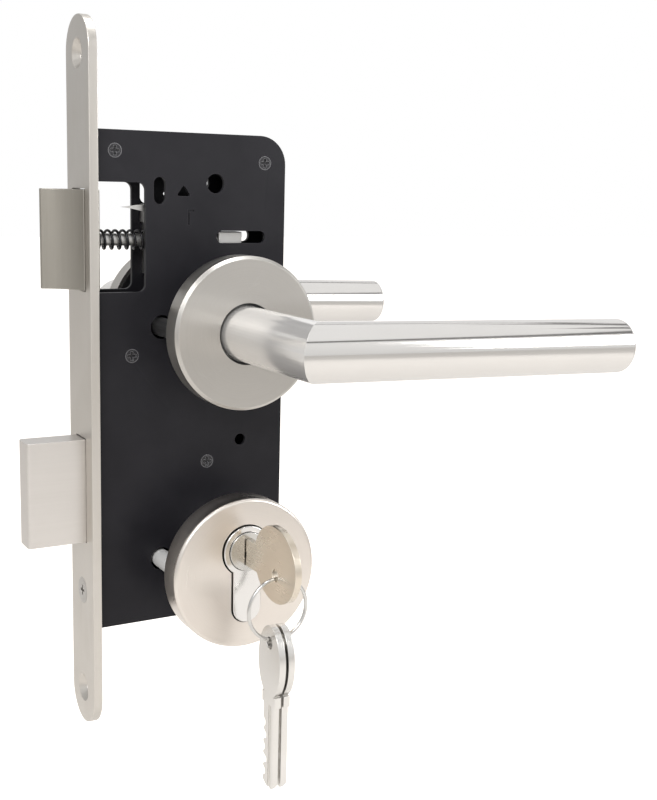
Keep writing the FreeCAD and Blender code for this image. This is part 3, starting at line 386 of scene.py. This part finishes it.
nodeFinish = {
    "forend": "forendNickel", "case_body": "caseLacquer", "case_cover": "caseLacquer",
    "case_pillars": "zincSteel", "case_screws": "screwBlack", "latch_head": "latchNickelPaintedShade",
    "latch_rod": "zincSteel", "latch_tail": "zincSteel", "latch_guide": "zincSteel",
    "latch_keeper": "springSteel", "latch_spring": "springSteel", "follower": "zincSteel",
    "spindle": "zincSteel", "lever_front": "gripSteel", "lever_back": "gripSteel",
    "lever_set_screws": "screwBlack", "lever_circlips": "springSteel",
    "lever_springs": "springSteel", "lever_rose_front": "roseSteel",
    "lever_rose_back": "roseSteel", "lever_base_front": "baseZincPaintedShade", "lever_base_back": "baseZincPaintedShade",
    "lever_rose_posts": "postSteelPaintedShade", "lever_rose_bolts": "postSteelPaintedShade",
    "cylinder_rose_front": "keyRoseSteel", "cylinder_rose_back": "keyRoseSteel",
    "cylinder_base_front": "baseZincPaintedShade", "cylinder_base_back": "baseZincPaintedShade",
    "cylinder_rose_posts": "brightPostPaintedLight", "cylinder_rose_bolts": "zincSteel",
    "deadbolt": "boltNickel", "bolt_tail": "zincSteel", "bolt_pins": "zincSteel",
    "bolt_spring": "springSteel", "cylinder_body": "cylinderNickel", "plug_front": "plugNickel",
    "plug_back": "plugNickel", "cam": "zincSteel", "cylinder_screw": "screwZinc",
    "key": "keyNickel", "key_ring": "ringWire", "spare_key_a": "spareNickel",
    "spare_key_b": "spareNickel"}
for nodeName, finish in nodeFinish.items():
    nodes[nodeName].data.materials.clear()
    nodes[nodeName].data.materials.append(materials[finish])


# a copy of a node with its doubles merged, its flats joined and its sharp edges eased
def easedPiece(nodeName, settings):
    shape = bmesh.new()
    shape.from_mesh(nodes[nodeName].data)
    bmesh.ops.remove_doubles(shape, verts=shape.verts, dist=settings["merge"])
    bmesh.ops.dissolve_limit(shape, angle_limit=math.radians(settings["flatAngle"]),
                             verts=shape.verts, edges=shape.edges)
    name = nodeName + "Eased"
    mesh = bpy.data.meshes.new(name)
    shape.to_mesh(mesh)
    shape.free()
    mesh.shade_smooth()
    mesh.set_sharp_from_angle(angle=math.radians(settings["sharpAngle"]))
    piece = bpy.data.objects.new(name, mesh)
    bpy.context.scene.collection.objects.link(piece)
    bevel = piece.modifiers.new("easedEdges", "BEVEL")
    bevel.width = settings["width"]
    bevel.segments = settings["segments"]
    bevel.limit_method = "ANGLE"
    bevel.angle_limit = math.radians(settings["sharpAngle"])
    bevel.harden_normals = True
    for finish in settings["finishes"]:
        mesh.materials.append(materials[finish])
    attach(piece, bodyOf[nodeName])
    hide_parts(nodeName)
    return piece


def easing(width, *finishes):
    return dict(width=width * mm, merge=0.000002, flatAngle=0.4, sharpAngle=28.0, segments=3,
                finishes=finishes)


easedEdges = {
    "forend": easing(0.25, "forendNickel"), "latch_head": easing(0.35, "latchNickelPaintedShade"),
    "deadbolt": easing(0.3, "boltNickel"), "case_cover": easing(0.3, "caseLacquer"),
    "case_body": easing(0.3, "caseLacquer"), "key": easing(0.3, "keyNickel"),
    "spare_key_a": easing(0.25, "spareNickel"), "spare_key_b": easing(0.25, "spareNickel"),
    "lever_rose_front": easing(0.15, "roseSteel"), "lever_rose_back": easing(0.15, "roseSteel"),
    "cylinder_rose_front": easing(0.12, "keyRoseSteel"),
    "cylinder_rose_back": easing(0.12, "keyRoseSteel"),
    "cylinder_body": easing(0.35, "cylinderNickel"), "plug_front": easing(0.2, "plugNickel"),
    "case_screws": easing(0.08, "screwBlack"), "latch_tail": easing(0.3, "zincSteel"),
    "lever_front": easing(0.12, "neckSteelPaintedLight", "gripSteel"),
    "lever_back": easing(0.12, "neckSteelPaintedLight", "gripSteel")}
eased = {nodeName: easedPiece(nodeName, settings) for nodeName, settings in easedEdges.items()}

# each leg of a lever has its own grain, split at the mitre; the neck's paler, less metallic steel
# is painted light
leverCorner = {"across": leverAxis[0], "out": 0.078}
for nodeName in ("lever_front", "lever_back"):
    for face in eased[nodeName].data.polygons:
        across = face.center.x - leverCorner["across"]
        out = abs(face.center.y) - leverCorner["out"]
        face.material_index = 1 if across + out > 0.0 else 0
print("eased pieces built:", len(eased))


# degrees, past which an edge of a new piece stays sharp
newSharpAngle = 35.0


# body is left out where the piece spans two bodies; it is then attached to none
def newPiece(name, shape, finish, nodeName, body=None):
    bmesh.ops.recalc_face_normals(shape, faces=shape.faces)
    mesh = bpy.data.meshes.new(name)
    shape.to_mesh(mesh)
    shape.free()
    mesh.shade_smooth()
    mesh.set_sharp_from_angle(angle=math.radians(newSharpAngle))
    mesh.materials.append(materials[finish])
    piece = bpy.data.objects.new(name, mesh)
    bpy.context.scene.collection.objects.link(piece)
    if body:
        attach(piece, body)
    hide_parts(nodeName)
    return piece


# latch spring with closed ends, its front on the latch and its back on the guide, in mm
coil = {"front": 5.15, "back": 23.45, "height": 47.5, "radius": 2.95, "wire": 0.45,
        "turns": 8.0, "closed": 1.0, "closedRise": 0.93, "stepsPerTurn": 28, "sides": 12}


def buildCoil(settings):
    shape = bmesh.new()
    perTurn = settings["stepsPerTurn"]
    closedTurns = settings["closed"]
    closedRise = settings["closedRise"]
    start = Vector((settings["front"] + settings["wire"], 0.0, settings["height"])) * mm
    wireCentre = start + Vector((0.0, settings["radius"] * mm, 0.0))
    bmesh.ops.create_circle(shape, cap_ends=True, segments=settings["sides"],
                            radius=settings["wire"] * mm, matrix=Matrix.Translation(wireCentre))
    length = settings["back"] - settings["front"] - 2.0 * settings["wire"]
    openTurns = settings["turns"] - 2.0 * closedTurns
    openRise = (length - 2.0 * closedTurns * closedRise) / openTurns
    last = shape.verts[:] + shape.edges[:] + shape.faces[:]
    for turns, rise in ((closedTurns, closedRise), (openTurns, openRise),
                        (closedTurns, closedRise)):
        spun = bmesh.ops.spin(shape, geom=last, cent=start, axis=(1, 0, 0),
                              dvec=(rise * mm / perTurn, 0, 0), angle=2.0 * math.pi * turns,
                              steps=int(turns * perTurn), use_merge=False)
        last = spun["geom_last"]
    return shape


latchCoil = newPiece("latchSpringCoil", buildCoil(coil), "springSteel", "latch_spring")
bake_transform(latchCoil)


# keeper leaf beside the window's upper edge, in mm: thin pointed tip, deeper root, hooked end
leaf = {"near": -5.0, "thickness": 0.8, "tabBack": 23.6, "tabFront": 22.8, "tabTop": 59.1,
        "tabBottom": 53.1, "tabFar": 5.0,
        "upper": ((12.5, 58.15), (15.0, 58.45), (18.0, 58.9), (20.5, 59.0), (22.8, 59.1)),
        "lower": ((22.8, 56.9), (20.8, 56.8), (18.6, 57.2), (16.0, 57.75))}


def buildLeaf(settings):
    shape = bmesh.new()
    outline = settings["upper"] + settings["lower"]
    corners = [shape.verts.new(Vector((x, settings["near"], z)) * mm) for x, z in outline]
    grown = bmesh.ops.extrude_face_region(shape, geom=[shape.faces.new(corners)])
    farCorners = [item for item in grown["geom"] if isinstance(item, bmesh.types.BMVert)]
    bmesh.ops.translate(shape, vec=(0, settings["thickness"] * mm, 0), verts=farCorners)
    low = Vector((settings["tabFront"], settings["near"], settings["tabBottom"])) * mm
    high = Vector((settings["tabBack"], settings["tabFar"], settings["tabTop"])) * mm
    place = Matrix.Translation((low + high) / 2.0)
    bmesh.ops.create_cube(shape, size=1.0, matrix=place @ Matrix.Diagonal((high - low).to_4d()))
    return shape


newPiece("latchKeeperLeaf", buildLeaf(leaf), "zincSteel", "latch_keeper", "case")
print("latch spring and leaf built")


# camera from the fit to the photograph
viewpoint = {"place": (-0.125105, -0.379097, 0.067778), "yaw": 30.09, "pitch": 10.25,
             "roll": 1.49, "focalPixels": 1204.989, "longSidePixels": 800.0,
             "sensorWidth": 36.0, "clipStart": 0.01, "clipEnd": 20.0}


def addCamera(settings):
    yaw = math.radians(settings["yaw"])
    pitch = math.radians(settings["pitch"])
    roll = math.radians(settings["roll"])
    ahead = Vector((math.sin(yaw) * math.cos(pitch), math.cos(yaw) * math.cos(pitch),
                    -math.sin(pitch)))
    right = Vector((math.cos(yaw), -math.sin(yaw), 0.0))
    above = right.cross(ahead)
    turnedRight = math.cos(roll) * right + math.sin(roll) * above
    turnedUp = -math.sin(roll) * right + math.cos(roll) * above
    data = bpy.data.cameras.new("photoCamera")
    data.sensor_width = settings["sensorWidth"]
    data.lens = settings["focalPixels"] * settings["sensorWidth"] / settings["longSidePixels"]
    data.clip_start = settings["clipStart"]
    data.clip_end = settings["clipEnd"]
    camera = bpy.data.objects.new("photoCamera", data)
    turn = Matrix((turnedRight, turnedUp, -ahead)).transposed().to_4x4()
    camera.matrix_world = Matrix.Translation(Vector(settings["place"])) @ turn
    bpy.context.scene.collection.objects.link(camera)
    bpy.context.scene.camera = camera


addCamera(viewpoint)


# pale floor, a pale surround with darker parts for the metal to mirror, and soft lights
studio = {"floorHeight": -0.26, "floorSize": 12.0, "floorColour": (0.80, 0.775, 0.745, 1),
          "floorRough": 0.9, "floorGlow": 0.8}
surround = {"seenStrength": 1.0, "strength": 1.0, "darkSide": (-0.5, 0.86, 0.0),
            "darkFrom": 0.2, "darkTo": 0.95, "darkTone": 0.68,
            "bands": ((0.0, 0.8), (0.5, 0.85), (0.79, 0.95), (0.796, 0.02), (0.82, 0.02),
                      (0.826, 1.0), (0.93, 1.0), (1.0, 0.6))}
lights = {
    "keyPanel": dict(place=(-0.55, -0.75, 0.65), aim=(0.04, 0, 0), size=0.5, power=5.0),
    "sidePanel": dict(place=(0.75, -0.55, 0.30), aim=(0.05, 0, 0), size=0.35, power=3.0),
    "topPanel": dict(place=(0.05, 0.0, 0.95), aim=(0.05, 0, 0), size=0.5, power=4.0)}


def addFloor(settings):
    floorShape = bmesh.new()
    bmesh.ops.create_grid(floorShape, x_segments=1, y_segments=1, size=settings["floorSize"] / 2,
                          matrix=Matrix.Translation((0, 0, settings["floorHeight"])))
    floorMesh = bpy.data.meshes.new("paleFloor")
    floorShape.to_mesh(floorMesh)
    floorShape.free()
    floor = bpy.data.objects.new("paleFloor", floorMesh)
    bpy.context.scene.collection.objects.link(floor)
    material, tree, shader = startMaterial("paleFloor", 0.0)
    shader.inputs["Base Color"].default_value = settings["floorColour"]
    shader.inputs["Roughness"].default_value = settings["floorRough"]
    shader.inputs["Specular IOR Level"].default_value = 0.0
    shader.inputs["Emission Color"].default_value = settings["floorColour"]
    path = addNode(tree, "ShaderNodeLightPath")
    glow = mathNode(tree, "MULTIPLY", path.outputs["Is Camera Ray"], settings["floorGlow"])
    tree.links.new(glow, shader.inputs["Emission Strength"])
    floorMesh.materials.append(material)


def addSurround(settings):
    world = bpy.data.worlds.new("paleWorld")
    bpy.context.scene.world = world
    world.use_nodes = True
    tree = world.node_tree
    mirrored = tree.nodes["Background"]
    mirrored.inputs["Strength"].default_value = settings["strength"]
    ray = addNode(tree, "ShaderNodeTexCoord")
    split = addNode(tree, "ShaderNodeSeparateXYZ")
    tree.links.new(ray.outputs["Generated"], split.inputs[0])
    height = mathNode(tree, "MULTIPLY_ADD", split.outputs["Z"], 0.5, 0.5)  # -1 to 1 made 0 to 1
    bands = addNode(tree, "ShaderNodeValToRGB")
    tree.links.new(height, bands.inputs["Fac"])
    stops = bands.color_ramp.elements
    for index, (place, tone) in enumerate(settings["bands"]):
        stop = stops[index] if index < 2 else stops.new(place)
        stop.position = place
        stop.color = (tone, tone, tone, 1)
    toward = addNode(tree, "ShaderNodeVectorMath", operation="DOT_PRODUCT")
    tree.links.new(ray.outputs["Generated"], toward.inputs[0])
    toward.inputs[1].default_value = settings["darkSide"]
    dark = rampNode(tree, toward.outputs["Value"], settings["darkFrom"], settings["darkTo"])
    dark.node.inputs["To Min"].default_value = 1.0
    dark.node.inputs["To Max"].default_value = settings["darkTone"]
    both = addNode(tree, "ShaderNodeVectorMath", operation="SCALE")
    tree.links.new(bands.outputs["Color"], both.inputs[0])
    tree.links.new(dark, both.inputs["Scale"])
    tree.links.new(both.outputs[0], mirrored.inputs["Color"])
    seen = addNode(tree, "ShaderNodeBackground")
    seen.inputs["Color"].default_value = (1, 1, 1, 1)
    seen.inputs["Strength"].default_value = settings["seenStrength"]
    path = addNode(tree, "ShaderNodeLightPath")
    choose = addNode(tree, "ShaderNodeMixShader")
    tree.links.new(path.outputs["Is Camera Ray"], choose.inputs[0])
    tree.links.new(mirrored.outputs[0], choose.inputs[1])
    tree.links.new(seen.outputs[0], choose.inputs[2])
    tree.links.new(choose.outputs[0], tree.nodes["World Output"].inputs["Surface"])


def addLight(name, settings):
    data = bpy.data.lights.new(name, "AREA")
    data.size = settings["size"]
    data.energy = settings["power"]
    lamp = bpy.data.objects.new(name, data)
    lamp.location = settings["place"]
    toward = Vector(settings["aim"]) - Vector(settings["place"])
    lamp.rotation_euler = toward.to_track_quat("-Z", "Y").to_euler()
    bpy.context.scene.collection.objects.link(lamp)


addFloor(studio)
addSurround(surround)
for lightName, lightSettings in lights.items():
    addLight(lightName, lightSettings)
bpy.context.scene.view_settings.view_transform = "Standard"
print("studio built")
